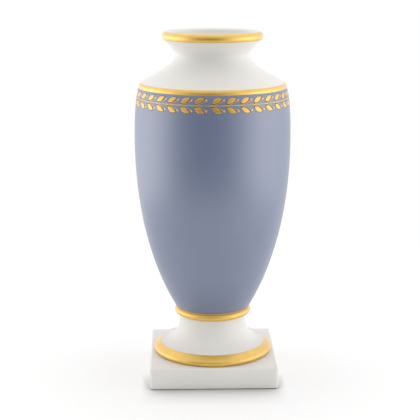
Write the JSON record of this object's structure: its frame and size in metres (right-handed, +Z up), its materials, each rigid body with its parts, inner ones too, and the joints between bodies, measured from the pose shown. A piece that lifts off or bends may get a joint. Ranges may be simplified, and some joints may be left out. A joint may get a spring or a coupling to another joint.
{
  "type": "porcelain amphora vase",
  "caption": "Free-standing porcelain vase of amphora form, open at a flared lip, with a coloured belly, gilded lines and a laurel frieze, bolted to a square plinth.",
  "frame": {"origin": "on the axis of the vase, at the level of the surface it stands on, under the felt pads", "axes": "+Z up along the axis of revolution; X and Y square to the plinth's sides, with -Y towards the front"},
  "size_m": [0.134, 0.134, 0.3],
  "materials": {
    "white_porcelain": "smooth white glaze, soft gloss",
    "blue_enamel": "satin periwinkle-blue ground",
    "gilding": "burnished gold",
    "cork": "thin pressed cork sheet",
    "steel": "zinc-plated steel",
    "rubber": "soft black rubber",
    "felt": "pale wool felt"
  },
  "bodies": {
    "root": {"vessel_body": "white_porcelain", "pedestal_foot": "white_porcelain", "plinth": "white_porcelain", "blue_ground": "blue_enamel", "rim_gilding": "gilding", "shoulder_gilding": "gilding", "body_base_gilding": "gilding", "waist_ring_gilding": "gilding", "foot_ring_gilding": "gilding", "laurel_frieze": "gilding", "waist_gasket": "cork", "foot_gasket": "cork", "tie_rod": "steel", "cap_nut": "steel", "cap_washer": "steel", "rubber_washer": "rubber", "base_washer": "steel", "lock_washer": "steel", "base_nut": "steel", "felt_pad_front_left": "felt", "felt_pad_front_right": "felt", "felt_pad_back_left": "felt", "felt_pad_back_right": "felt"}
  },
  "joints": []
}
